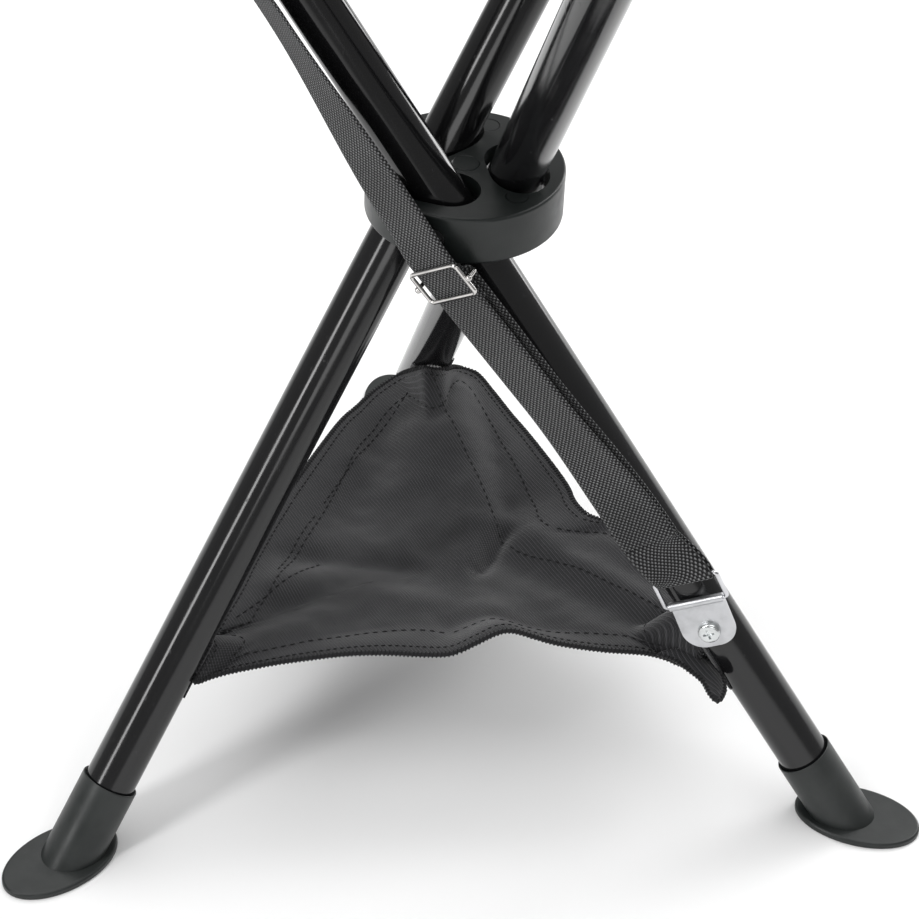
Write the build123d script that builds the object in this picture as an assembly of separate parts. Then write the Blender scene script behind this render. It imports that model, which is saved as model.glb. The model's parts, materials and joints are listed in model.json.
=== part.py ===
from build123d import *
import math
import os

os.makedirs("parts", exist_ok=True)

# Three-legged folding camp stool. Millimetres, +Z up. The origin is on the floor under the hub's axis.
# Each straight leg leans tangentially through its own slot in the hub, so the three legs cross there.

# ---- Driving dimensions ----
TUBE_R = 11.1                # 22.2 mm (7/8 in) steel tube
TUBE_WALL = 1.2
LEG_TILT = 35.4              # from vertical, open on its stop; it folds to 0
LEG_ANGLES = {"a": 240, "b": 120, "c": 0}   # where each leg crosses the hub, about +Z
PIVOT_RADIUS = 19.5          # hub axis to each leg's axis
HUB_Z = 276.0                # floor to the middle of the hub
HUB_R = 40.6
HUB_H = 21.2
TUBE_TOP = 297.0             # along the leg's axis from the hub's middle
TUBE_BOTTOM = -325.0
SLEEVE_TOP = -300.0          # top of the foot's sleeve, on the same scale
SLEEVE_R = 12.5
PAD_LENGTH = 56.0            # oval foot pad, along the leg's lean and across it
PAD_WIDTH = 34.0
PAD_THICK = 3.0
PAD_INNER_REACH = 22.3       # how far the pad reaches inside the point where the leg's axis meets the floor
POUCH_FIXING = -240.0        # where the lower cloth is screwed to each leg
WEBBING_WIDTH = 25.4
WEBBING_THICK = 1.4
STRAP_SCREW_LOW = -218.0     # strap tab screws on leg a, along its axis
STRAP_SCREW_HIGH = 232.0
STRAP_TURN_LOW = 8.0         # how far round the tube each tab sits, from the hub's radial direction
STRAP_TURN_HIGH = -65.0
TAB_SWIVEL = 10.0            # the lower tab is turned on its screw by the strap's pull

# ---- Hub details ----
SLOT_R = 12.3
SLOT_OFFSET = 0.6            # slot middle, outside the tube's axis
SLOT_TILT = LEG_TILT + 4.5
HUB_EDGE = 1.2
PIN_R = 2.5
PIN_HOLE_GAP = 0.02
PIN_RUNNING_GAP = 0.06
PIN_HEAD_R = 4.5
PIN_HEAD_THICK = 2.4
PIN_HEAD_SUNK = 0.4          # below the hub's rim
PIN_END_RADIUS = 4.5         # inner end of each pin, from the hub's axis
PIN_END_GAP = 0.3

# ---- Small parts ----
OVERLAP = 0.5                # joined shapes reach this far into each other
CUT_PAST = 1.0               # cutters reach this far past what they cut
FIT_GAP = 0.1
CLOTH_GAP = 0.9
SLEEVE_ROUND = 0.5
SLEEVE_MOUTH_BEVEL = 1.2
SOCKET_END_GAP = 0.2
PAD_TOP_ROUND = 1.2
PAD_SOLE_ROUND = 0.6
PLUG_FLANGE = 3.0
PLUG_SPIGOT = 18.0
PLUG_WALL = 2.0
PLUG_ROUND = 1.5
POCKET_LENGTH = 55.0
POCKET_WALL = 1.2
POCKET_ROUND = 2.0
SCREW_R = 2.5
SCREW_HEAD_R = 4.9
SCREW_HEAD_H = 2.6
SCREW_HEAD_ROUND = 1.6
RECESS_SPAN = 5.0
RECESS_SLOT = 1.1
RECESS_DEPTH = 1.3
WASHER_R = 6.0
WASHER_THICK = 0.9
POUCH_SCREW_SHANK = 9.0
STRAP_SCREW_SHANK = 8.0
SCREW_SEAT_GAP = 0.05
TAB_THICK = 0.9
TAB_WIDTH = 24.0
TAB_BELOW_SCREW = 8.0
TAB_END_ROUND = 9.5
KNUCKLE_R = 1.95
BAR_ABOVE_SCREW = 16.5
RING_WIRE_R = 1.0
RING_WIDTH = 27.8            # wire middle to wire middle
RING_HEIGHT = 14.6
RING_CORNER = 1.5
RING_LEAN = 9.0              # degrees off the tube at rest
SLIDER_WIRE_R = 0.9
SLIDER_WIDTH = 27.6
SLIDER_HEIGHT = 15.0
SLIDER_TWIST = -18.0
SLIDER_PLACE = (24.4, -3.9, -17.5)   # on leg a: outward, across, along
SEWN_LOOP_GAP = 0.15
WEBBING_GAP = 0.35
SLIDER_STRAIGHT = 9.5        # the webbing runs straight this far each side of the slider's bar
SLIDER_CORNER = 2.0
SLIDER_BAR_BEND = 1.6
SLIDER_BEAD_R = 1.4
SEWN_TAIL = 6.0
BAR_TURN_STEP = 45
LAYER_STEP = 4.0             # between the strap's two layers, halfway down the lower run
SLIDER_FRONT = WEBBING_THICK / 2 + WEBBING_GAP + SLIDER_WIRE_R
SLIDER_BAR_BEHIND = -(WEBBING_THICK * 1.5 + SEWN_LOOP_GAP + SLIDER_WIRE_R + WEBBING_GAP)
LOW_RUN_PLACE = (20.8, 1.0, -83.0)   # points of the webbing on leg a: outward, across, along
LOW_RUN_TWIST = 0.0
RIM_BEND_PLACE = (23.6, -5.0, 12.0)
RIM_BEND_TWIST = -21.0
HIGH_RUN_PLACE = (13.6, -9.8, 108.0)
HIGH_RUN_TWIST = -42.0

# ---- Cloth ----
SEAT_CORNER_R = 215.0        # hub axis to the seat's corner, before it is rounded
SEAT_CORNER_ROUND = 16.0
SEAT_THICK = 3.0
SEAT_SAG = 14.0
SEAT_CORNER_Z = 538.0
POUCH_REACH = 122.0          # how far out along each leg's lean the lower cloth ends
POUCH_CORNER_HALF = 28.0
POUCH_CORNER_ROUND = 6.0
POUCH_THICK = 3.0
POUCH_Z = 73.0

tilt = math.radians(LEG_TILT)


def leg_frame(leg):
    """Local X is the pivot's radial direction, local Z runs up the leg's axis from the hub's middle."""
    angle = LEG_ANGLES[leg]
    return Pos(0, 0, HUB_Z) * Rot(0, 0, angle) * Pos(PIVOT_RADIUS, 0, 0) * Rot(LEG_TILT, 0, 0)


def rod(radius, low, high):
    """A cylinder about local Z from low to high."""
    return Pos(0, 0, (low + high) / 2) * Cylinder(radius, high - low)


def radial_rod(radius, low, high):
    """A cylinder about local X from low to high."""
    return Rot(0, 90, 0) * rod(radius, low, high)


def write(shape, name):
    shape.label = name
    export_step(shape, f"parts/{name}.step")


def cross_recess():
    """The Phillips recess of a screw head whose top is at local z = 0."""
    bars = Box(RECESS_SPAN, RECESS_SLOT, RECESS_DEPTH) + Box(RECESS_SLOT, RECESS_SPAN, RECESS_DEPTH)
    return Pos(0, 0, -RECESS_DEPTH / 2) * bars


def pan_screw(shank):
    """A pan-head machine screw: head from z = 0 up, shank down."""
    head = rod(SCREW_HEAD_R, 0, SCREW_HEAD_H)
    head = fillet(head.edges().group_by(Axis.Z)[-1], SCREW_HEAD_ROUND)
    return head + rod(SCREW_R, -shank, OVERLAP) - Pos(0, 0, SCREW_HEAD_H) * cross_recess()


# ---- Hub: a moulded disc with one swept slot per leg ----
def slot_cutter():
    """The space that a leg sweeps between folded and open, with clearance, at the leg angle of 0."""
    reach = HUB_H
    upright = rod(SLOT_R, -reach, reach)
    leaning = Rot(SLOT_TILT, 0, 0) * rod(SLOT_R, -2 * reach, 2 * reach)
    lean = reach * math.tan(math.radians(SLOT_TILT))
    upper = Polyline((0, 0), (0, reach), (-lean, reach), close=True)
    lower = Polyline((0, 0), (0, -reach), (lean, -reach), close=True)
    side = Plane(origin=(-SLOT_R, 0, 0), x_dir=(0, 1, 0), z_dir=(1, 0, 0))
    wedges = [extrude(side * make_face(outline), 2 * SLOT_R) for outline in (upper, lower)]
    swept = upright + leaning + wedges[0] + wedges[1]
    return Pos(PIVOT_RADIUS + SLOT_OFFSET, 0, 0) * swept


def make_hub():
    disc = Cylinder(HUB_R, HUB_H)
    disc = fillet(disc.edges().filter_by(GeomType.CIRCLE), HUB_EDGE)
    pin_seat = HUB_R - PIN_HEAD_THICK - PIN_HEAD_SUNK
    for angle in LEG_ANGLES.values():
        turn = Rot(0, 0, angle)
        disc -= turn * slot_cutter()
        disc -= turn * radial_rod(PIN_R + PIN_HOLE_GAP, PIN_END_RADIUS - PIN_END_GAP, HUB_R)
        disc -= turn * radial_rod(PIN_HEAD_R + FIT_GAP, pin_seat, HUB_R + CUT_PAST)
    return Pos(0, 0, HUB_Z) * disc


def make_pivot_pin(leg):
    seat = HUB_R - PIN_HEAD_THICK - PIN_HEAD_SUNK
    pin = radial_rod(PIN_R, PIN_END_RADIUS, seat) + radial_rod(PIN_HEAD_R, seat, seat + PIN_HEAD_THICK)
    pin -= Pos(seat + PIN_HEAD_THICK, 0, 0) * Rot(0, 90, 0) * cross_recess()
    return Pos(0, 0, HUB_Z) * Rot(0, 0, LEG_ANGLES[leg]) * pin


# ---- Legs ----
def make_tube(leg):
    outside = TUBE_R + CUT_PAST
    tube = rod(TUBE_R, TUBE_BOTTOM, TUBE_TOP)
    tube -= rod(TUBE_R - TUBE_WALL, TUBE_BOTTOM - CUT_PAST, TUBE_TOP + CUT_PAST)
    tube -= radial_rod(PIN_R + PIN_RUNNING_GAP, -outside, outside)
    tube -= Pos(0, 0, POUCH_FIXING) * Rot(90, 0, 0) * rod(SCREW_R + FIT_GAP, 0, outside)
    if leg == "a":
        for screw_at, turn in ((STRAP_SCREW_LOW, STRAP_TURN_LOW), (STRAP_SCREW_HIGH, STRAP_TURN_HIGH)):
            tube -= Pos(0, 0, screw_at) * Rot(0, 0, turn) * radial_rod(SCREW_R + FIT_GAP, 0, outside)
    return leg_frame(leg) * tube


def make_foot(leg):
    """A sleeve round the tube's end on a flat oval pad, cut level with the floor."""
    frame = leg_frame(leg)
    axis_meets_floor = HUB_Z / math.cos(tilt)
    sleeve = frame * rod(SLEEVE_R, -axis_meets_floor - PAD_LENGTH, SLEEVE_TOP)
    sleeve = fillet(sleeve.edges().group_by(Axis.Z)[-1], SLEEVE_ROUND)
    sleeve = split(sleeve, bisect_by=Plane.XY, keep=Keep.TOP)
    pad = extrude(Ellipse(PAD_WIDTH / 2, PAD_LENGTH / 2), PAD_THICK)
    pad = fillet(pad.edges().group_by(Axis.Z)[-1], PAD_TOP_ROUND)
    pad = fillet(pad.edges().group_by(Axis.Z)[0], PAD_SOLE_ROUND)
    pad_middle = HUB_Z * math.tan(tilt) + PAD_LENGTH / 2 - PAD_INNER_REACH
    foot = sleeve + Rot(0, 0, LEG_ANGLES[leg]) * Pos(PIVOT_RADIUS, pad_middle, 0) * pad
    socket = rod(TUBE_R + FIT_GAP, TUBE_BOTTOM - SOCKET_END_GAP, SLEEVE_TOP + CUT_PAST)
    mouth = Cone(TUBE_R, TUBE_R + SLEEVE_MOUTH_BEVEL, SLEEVE_MOUTH_BEVEL)
    return foot - frame * (socket + Pos(0, 0, SLEEVE_TOP - SLEEVE_MOUTH_BEVEL / 3) * mouth)


def make_end_plug(leg):
    bore = TUBE_R - TUBE_WALL - FIT_GAP
    plug = rod(TUBE_R, TUBE_TOP, TUBE_TOP + PLUG_FLANGE)
    plug = fillet(plug.edges().group_by(Axis.Z)[-1], PLUG_ROUND)
    plug += rod(bore, TUBE_TOP - PLUG_SPIGOT, TUBE_TOP + OVERLAP)
    plug -= rod(bore - PLUG_WALL, TUBE_TOP - PLUG_SPIGOT - CUT_PAST, TUBE_TOP)
    return leg_frame(leg) * plug


def make_seat_pocket(leg):
    """The sewn pocket over a leg's top, as a plain cup."""
    inside = TUBE_R + CLOTH_GAP
    top = TUBE_TOP + PLUG_FLANGE + CLOTH_GAP
    cup = rod(inside + POCKET_WALL, TUBE_TOP - POCKET_LENGTH, top + POCKET_WALL)
    cup = fillet(cup.edges().group_by(Axis.Z)[-1], POCKET_ROUND)
    return leg_frame(leg) * (cup - rod(inside, TUBE_TOP - POCKET_LENGTH - CUT_PAST, top))


def pouch_fixing_frame(leg):
    """Local Z points off the tube's inner side at the lower cloth's fixing."""
    return leg_frame(leg) * Pos(0, 0, POUCH_FIXING) * Rot(90, 0, 0) * Pos(0, 0, TUBE_R + CLOTH_GAP)


def make_pouch_washer(leg):
    hole = rod(SCREW_R + FIT_GAP, -CUT_PAST, WASHER_THICK + CUT_PAST)
    return pouch_fixing_frame(leg) * (rod(WASHER_R, 0, WASHER_THICK) - hole)


def make_pouch_screw(leg):
    return pouch_fixing_frame(leg) * Pos(0, 0, WASHER_THICK) * pan_screw(POUCH_SCREW_SHANK)


# ---- Shoulder strap hardware on leg a ----
def low_tab_frame():
    """Local X points off the tube at the tab's screw, local Z points to its ring."""
    return leg_frame("a") * Pos(0, 0, STRAP_SCREW_LOW) * Rot(0, 0, STRAP_TURN_LOW) * Rot(-TAB_SWIVEL, 0, 0)


def high_tab_frame():
    """As the low one, but its ring hangs below the screw."""
    return leg_frame("a") * Pos(0, 0, STRAP_SCREW_HIGH) * Rot(0, 0, STRAP_TURN_HIGH) * Rot(180, 0, 0)


def ring_frame(tab_frame):
    """At the ring's bar in the tab, leaning off the tube as the ring does at rest."""
    return tab_frame * Pos(TUBE_R + FIT_GAP + KNUCKLE_R, 0, BAR_ABOVE_SCREW) * Rot(0, RING_LEAN, 0)


def wire_loop(width, height, corner, wire_r):
    """A rounded rectangle of wire in the local YZ plane, from z = 0 up."""
    path = (Plane.YZ * Pos(0, height / 2) * RectangleRounded(width, height, corner)).wire()
    section = Plane(origin=path @ 0, z_dir=path % 0) * Circle(wire_r)
    return sweep(section, path=path)


def make_strap_tab(frame):
    """A sheet tab rolled round the ring's bar at its end."""
    back = TUBE_R + FIT_GAP
    length = BAR_ABOVE_SCREW + TAB_BELOW_SCREW
    middle = (BAR_ABOVE_SCREW - TAB_BELOW_SCREW) / 2
    plate = Pos(back + TAB_THICK / 2, 0, middle) * Box(TAB_THICK, TAB_WIDTH, length)
    plate = fillet(plate.edges().filter_by(Axis.X).group_by(Axis.Z)[0], TAB_END_ROUND)
    bar_line = Pos(back + KNUCKLE_R, 0, BAR_ABOVE_SCREW) * Rot(90, 0, 0)
    plate += bar_line * rod(KNUCKLE_R, -TAB_WIDTH / 2, TAB_WIDTH / 2)
    plate -= bar_line * rod(RING_WIRE_R + PIN_RUNNING_GAP, -TAB_WIDTH, TAB_WIDTH)
    plate -= radial_rod(SCREW_R + FIT_GAP, 0, back + TAB_THICK + CUT_PAST)
    return frame * plate


def make_strap_screw(frame):
    under_head = TUBE_R + FIT_GAP + TAB_THICK + SCREW_SEAT_GAP
    return frame * Pos(under_head, 0, 0) * Rot(0, 90, 0) * pan_screw(STRAP_SCREW_SHANK)


def make_strap_ring(frame):
    return ring_frame(frame) * wire_loop(RING_WIDTH, RING_HEIGHT, RING_CORNER, RING_WIRE_R)


def slider_frame():
    """Local Z runs up the strap's lower run, local X points off the webbing's face."""
    leg = leg_frame("a")
    low_bar = (ring_frame(low_tab_frame()) * Pos(0, 0, RING_HEIGHT)).position
    here = (leg * Pos(*SLIDER_PLACE)).position
    face = (leg * Rot(0, 0, SLIDER_TWIST) * Pos(1, 0, 0)).position - leg.position
    return Location(Plane(origin=here, x_dir=face, z_dir=here - low_bar))


def make_slider_frame():
    loop = wire_loop(SLIDER_WIDTH, SLIDER_HEIGHT, SLIDER_CORNER, SLIDER_WIRE_R)
    return slider_frame() * Pos(SLIDER_FRONT, 0, -SLIDER_HEIGHT / 2) * loop


def make_slider_bar():
    """The cross bar behind the webbing, whose beaded ends grip the side wires."""
    half = SLIDER_WIDTH / 2 + 2 * SLIDER_WIRE_R + FIT_GAP
    path = FilletPolyline(
        (SLIDER_FRONT, -half, 0), (SLIDER_BAR_BEHIND, -half, 0),
        (SLIDER_BAR_BEHIND, half, 0), (SLIDER_FRONT, half, 0), radius=SLIDER_BAR_BEND,
    )
    bar = sweep(Plane(origin=path @ 0, z_dir=path % 0) * Circle(SLIDER_WIRE_R), path=path)
    side_wire = rod(SLIDER_WIRE_R + FIT_GAP, -SLIDER_HEIGHT / 2, SLIDER_HEIGHT / 2)
    for side in (-1, 1):
        bar += Pos(SLIDER_FRONT, side * half, 0) * Sphere(SLIDER_BEAD_R)
        bar -= Pos(SLIDER_FRONT, side * SLIDER_WIDTH / 2, 0) * side_wire
    return slider_frame() * bar


def round_bar(bar, wire_r, start):
    """Stations that carry the webbing half way round a bar along local Y, from one side to the other."""
    step = wire_r + SEWN_LOOP_GAP + WEBBING_THICK / 2
    angles = [start + BAR_TURN_STEP * i for i in range(round(180 / BAR_TURN_STEP) + 1)]
    return [bar * Rot(0, angle, 0) * Pos(step, 0, 0) for angle in angles]


def flat_strip(stations):
    """The webbing's section carried down local -Z through the stations, in flat three-cornered faces."""
    corners = ((1, 1), (-1, 1), (-1, -1), (1, -1))
    rings = [[(station * Pos(x * WEBBING_THICK / 2, y * WEBBING_WIDTH / 2, 0)).position for x, y in corners]
             for station in stations]
    faces = [Face(Wire.make_polygon(rings[0])), Face(Wire.make_polygon(rings[-1][::-1]))]
    for here, there in zip(rings, rings[1:]):
        for i in range(len(corners)):
            j = (i + 1) % len(corners)
            if i < 2:      # the two wide faces are divided along the same diagonal, so the thickness holds
                triangles = ([here[j], here[i], there[j]], [here[i], there[i], there[j]])
            else:
                triangles = ([here[j], here[i], there[i]], [here[j], there[i], there[j]])
            faces += [Face(Wire.make_polygon(triangle)) for triangle in triangles]
    return Solid(Shell(faces))


def make_webbing():
    """One strap: sewn round the high ring, past the slider, round the low ring and back to the slider."""
    leg = leg_frame("a")
    low = ring_frame(low_tab_frame()) * Pos(0, 0, RING_HEIGHT)
    high = ring_frame(high_tab_frame()) * Pos(0, 0, RING_HEIGHT)
    slider = slider_frame()
    slider_bar = slider * Pos(SLIDER_BAR_BEHIND, 0, 0)
    out, across, along = LOW_RUN_PLACE
    high_turn = [place * Rot(180, 0, 0) for place in reversed(round_bar(high, RING_WIRE_R, 0))]
    stations = [high_turn[0] * Pos(0, 0, SEWN_TAIL)]
    stations += high_turn
    stations += [
        leg * Pos(*HIGH_RUN_PLACE) * Rot(0, 0, HIGH_RUN_TWIST),
        leg * Pos(*RIM_BEND_PLACE) * Rot(0, 0, RIM_BEND_TWIST),
        slider * Pos(0, 0, SLIDER_STRAIGHT),
        slider * Pos(0, 0, -SLIDER_STRAIGHT),
        leg * Pos(out, across, along) * Rot(0, 0, LOW_RUN_TWIST),
    ]
    stations += round_bar(low, RING_WIRE_R, 0)
    stations += [leg * Pos(out - LAYER_STEP, across, along) * Rot(0, 0, LOW_RUN_TWIST) * Rot(0, 180, 0)]
    slider_turn = round_bar(slider_bar, SLIDER_WIRE_R, 180)
    stations += slider_turn
    stations += [slider_turn[-1] * Pos(0, 0, -SEWN_TAIL)]
    return flat_strip(stations)


# ---- Cloth, as plain closed solids ----
def make_seat_panel():
    """A three-cornered sheet that sags to its middle."""
    seat_turn = math.degrees(math.atan2(TUBE_TOP * math.sin(tilt), PIVOT_RADIUS))
    corners = [Vector(SEAT_CORNER_R, 0, SEAT_CORNER_Z).rotate(Axis.Z, angle - seat_turn)
               for angle in LEG_ANGLES.values()]
    middle = Vector(0, 0, SEAT_CORNER_Z - SEAT_SAG)
    drop = Vector(0, 0, -SEAT_THICK)
    faces = []
    for here, there in zip(corners, corners[1:] + corners[:1]):
        faces.append(Face(Wire.make_polygon([here, there, middle])))
        faces.append(Face(Wire.make_polygon([here + drop, there + drop, middle + drop])))
        faces.append(Face(Wire.make_polygon([here, there, there + drop, here + drop])))
    sheet = Solid(Shell(faces))
    round_off = extrude(seat_outline(seat_turn), 2 * SEAT_CORNER_Z)
    return sheet & round_off


def seat_outline(seat_turn):
    outline = Rot(0, 0, -seat_turn) * RegularPolygon(SEAT_CORNER_R, 3)
    return fillet(outline.vertices(), SEAT_CORNER_ROUND)


def make_pouch_panel():
    """The lower cloth: a triangle whose corners stop short of the legs."""
    points = []
    for angle in sorted(LEG_ANGLES.values()):
        for across in (POUCH_CORNER_HALF, -POUCH_CORNER_HALF):
            place = Vector(PIVOT_RADIUS + across, POUCH_REACH, 0).rotate(Axis.Z, angle)
            points.append((place.X, place.Y))
    outline = fillet(make_face(Polyline(*points, close=True)).vertices(), POUCH_CORNER_ROUND)
    return Pos(0, 0, POUCH_Z - POUCH_THICK / 2) * extrude(outline, POUCH_THICK)


# ---- Write one file per piece ----
write(make_hub(), "hub")
write(make_seat_panel(), "seat_panel")
write(make_pouch_panel(), "pouch_panel")
for leg in LEG_ANGLES:
    write(make_pivot_pin(leg), f"pivot_pin_{leg}")
    write(make_tube(leg), f"tube_{leg}")
    write(make_foot(leg), f"foot_{leg}")
    write(make_end_plug(leg), f"end_plug_{leg}")
    write(make_seat_pocket(leg), f"seat_pocket_{leg}")
    write(make_pouch_washer(leg), f"pouch_washer_{leg}")
    write(make_pouch_screw(leg), f"pouch_screw_{leg}")
for end, tab_frame in (("low", low_tab_frame()), ("high", high_tab_frame())):
    write(make_strap_tab(tab_frame), f"strap_tab_{end}")
    write(make_strap_screw(tab_frame), f"strap_screw_{end}")
    write(make_strap_ring(tab_frame), f"strap_ring_{end}")
write(make_slider_frame(), "slider_frame")
write(make_slider_bar(), "slider_bar")
write(make_webbing(), "webbing")
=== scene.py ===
import bisect
import json
import math

import bpy
from mathutils import Matrix, Vector, noise


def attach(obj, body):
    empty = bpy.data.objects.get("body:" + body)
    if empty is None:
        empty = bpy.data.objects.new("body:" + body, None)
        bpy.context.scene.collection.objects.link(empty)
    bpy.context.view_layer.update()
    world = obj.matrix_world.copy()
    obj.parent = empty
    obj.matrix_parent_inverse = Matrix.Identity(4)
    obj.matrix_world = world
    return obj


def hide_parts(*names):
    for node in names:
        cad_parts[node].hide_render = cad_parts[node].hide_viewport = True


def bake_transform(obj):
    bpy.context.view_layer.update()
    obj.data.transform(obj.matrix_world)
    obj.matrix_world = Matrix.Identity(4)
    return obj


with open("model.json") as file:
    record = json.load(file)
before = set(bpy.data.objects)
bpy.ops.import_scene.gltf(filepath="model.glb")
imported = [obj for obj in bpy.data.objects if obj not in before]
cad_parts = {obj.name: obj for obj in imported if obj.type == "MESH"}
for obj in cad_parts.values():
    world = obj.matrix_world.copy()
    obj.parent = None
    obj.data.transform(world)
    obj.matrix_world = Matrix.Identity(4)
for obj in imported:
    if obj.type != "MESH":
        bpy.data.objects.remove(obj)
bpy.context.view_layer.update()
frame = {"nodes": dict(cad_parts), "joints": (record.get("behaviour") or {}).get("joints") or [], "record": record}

MM = 0.001
UP = Vector((0, 0, 1))


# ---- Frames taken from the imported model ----
def joint(name):
    return next(j for j in frame["joints"] if j["name"] == name)


def leg_frame(leg):
    """Local X is the pivot's radial direction, local Z runs up the leg from the hub's middle."""
    fold = joint(f"fold_{leg}")
    radial = -Vector(fold["axis"])
    tangent = UP.cross(radial)
    tilt = math.radians(fold["range_deg"][1])
    along = UP * math.cos(tilt) - tangent * math.sin(tilt)
    across = tangent * math.cos(tilt) + UP * math.sin(tilt)
    matrix = Matrix((radial, across, along)).transposed().to_4x4()
    matrix.translation = Vector(fold["pos_m"])
    return matrix


def shift(x, y, z):
    """A move in millimetres."""
    return Matrix.Translation(Vector((x, y, z)) * MM)


def turn(axis, degrees):
    return Matrix.Rotation(math.radians(degrees), 4, axis)


LEGS = {leg: leg_frame(leg) for leg in "abc"}


# ---- Meshes ----
TUBE_END = 0.45     # the end ring of a thread or roll, as a share of its radius


def smooth(obj):
    for polygon in obj.data.polygons:
        polygon.use_smooth = True
    return obj


def mesh_object(name, points, faces, uvs=None, smooth_shading=True):
    mesh = bpy.data.meshes.new(name)
    mesh.from_pydata([tuple(p) for p in points], [], faces)
    if uvs:
        layer = mesh.uv_layers.new(name="cloth")
        for loop in mesh.loops:
            layer.data[loop.index].uv = uvs[loop.vertex_index]
    mesh.update()
    obj = bpy.data.objects.new(name, mesh)
    bpy.context.scene.collection.objects.link(obj)
    return smooth(obj) if smooth_shading else obj


def grid_faces(rows, columns, closed=False):
    """Quads over a grid of rows x columns points; closed joins the last column to the first."""
    faces = []
    for r in range(rows - 1):
        row, next_row = r * columns, (r + 1) * columns
        for c in range(columns if closed else columns - 1):
            d = (c + 1) % columns
            faces.append((row + c, row + d, next_row + d, next_row + c))
    return faces


def thicken(obj, thickness):
    """Gives a single layer its thickness, half to each side."""
    solid = obj.modifiers.new("thickness", "SOLIDIFY")
    solid.thickness = thickness
    solid.offset = 0.0
    bpy.context.view_layer.update()
    evaluated = obj.evaluated_get(bpy.context.evaluated_depsgraph_get())
    mesh = bpy.data.meshes.new_from_object(evaluated)
    obj.modifiers.clear()
    obj.data = mesh
    smooth(obj)


def join(name, objects):
    """One object from several, with each one's own materials."""
    vertices, faces, materials, slots, uvs = [], [], [], [], []
    for obj in objects:
        start = len(vertices)
        vertices += [obj.matrix_world @ v.co for v in obj.data.vertices]
        layer = obj.data.uv_layers[0].data if obj.data.uv_layers else None
        for polygon in obj.data.polygons:
            faces.append([start + v for v in polygon.vertices])
            material = obj.data.materials[polygon.material_index] if obj.data.materials else None
            if material not in materials:
                materials.append(material)
            slots.append(materials.index(material))
            uvs += [tuple(layer[i].uv) if layer else (0.0, 0.0) for i in polygon.loop_indices]
        bpy.data.objects.remove(obj)
    joined = mesh_object(name, vertices, faces)
    layer = joined.data.uv_layers.new(name="cloth")
    for i, uv in enumerate(uvs):
        layer.data[i].uv = uv
    for material in materials:
        joined.data.materials.append(material)
    for polygon, slot_index in zip(joined.data.polygons, slots):
        polygon.material_index = slot_index
    return joined


def tube_along(points, radius, sides):
    """Vertices and faces of a round thread or roll along points, drawn in at both closed ends."""
    last = len(points) - 1
    vertices = []
    top = None
    for i, point in enumerate(points):
        direction = (points[min(i + 1, last)] - points[max(i - 1, 0)]).normalized()
        hint = top or (UP if abs(direction.z) < 0.9 else Vector((1, 0, 0)))
        side = direction.cross(hint).normalized()
        top = side.cross(direction).normalized()
        r = radius * TUBE_END if i in (0, last) else radius
        for k in range(sides):
            a = 2 * math.pi * k / sides
            vertices.append(point + side * (r * math.cos(a)) + top * (r * math.sin(a)))
    faces = grid_faces(len(points), sides, closed=True)
    faces.append(tuple(reversed(range(sides))))
    faces.append(tuple(last * sides + k for k in range(sides)))
    return vertices, faces


def threads(name, runs, radius):
    """One object holding a four-sided sewing thread along each run of points."""
    vertices, faces = [], []
    for run in runs:
        v, f = tube_along(run, radius, 4)
        start = len(vertices)
        vertices += v
        faces += [tuple(start + i for i in face) for face in f]
    obj = mesh_object(name, vertices, faces)
    obj.data.materials.append(THREAD)
    return obj


def curve_through(points, steps, closed=False):
    """A smooth line through the points (Catmull-Rom)."""
    count = len(points)
    out = []
    spans = count if closed else count - 1
    for i in range(spans):
        p1, p2 = points[i], points[(i + 1) % count]
        p0 = points[(i - 1) % count] if closed or i else p1 * 2 - p2
        p3 = points[(i + 2) % count] if closed or i < count - 2 else p2 * 2 - p1
        for k in range(steps):
            t = k / steps
            out.append(0.5 * ((p1 * 2) + (p2 - p0) * t + (p0 * 2 - p1 * 5 + p2 * 4 - p3) * t * t
                              + (p1 * 3 - p0 - p2 * 3 + p3) * t * t * t))
    if not closed:
        out.append(points[-1])
    return out


def resample(points, spacing):
    """The same line with points an even distance apart."""
    lengths = [0.0]
    for a, b in zip(points, points[1:]):
        lengths.append(lengths[-1] + (b - a).length)
    count = max(2, round(lengths[-1] / spacing) + 1)
    out, k = [], 0
    for i in range(count):
        target = lengths[-1] * i / (count - 1)
        while k < len(points) - 2 and lengths[k + 1] < target:
            k += 1
        span = lengths[k + 1] - lengths[k]
        out.append(points[k].lerp(points[k + 1], (target - lengths[k]) / span if span else 0))
    return out


# ---- Materials ----
MOULD_GRAIN = 0.00006
MARK_DEPTH = 0.6 * MM
MARK_WALL = 0.5 * MM
MIDDLE_MARK = 5.8 * MM      # radius of the mark at the hub's middle
OUTER_MARK = 4.8 * MM       # radius of each mark between two tubes
MARK_REACH = 30.5 * MM      # their distance from the hub's middle


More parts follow.
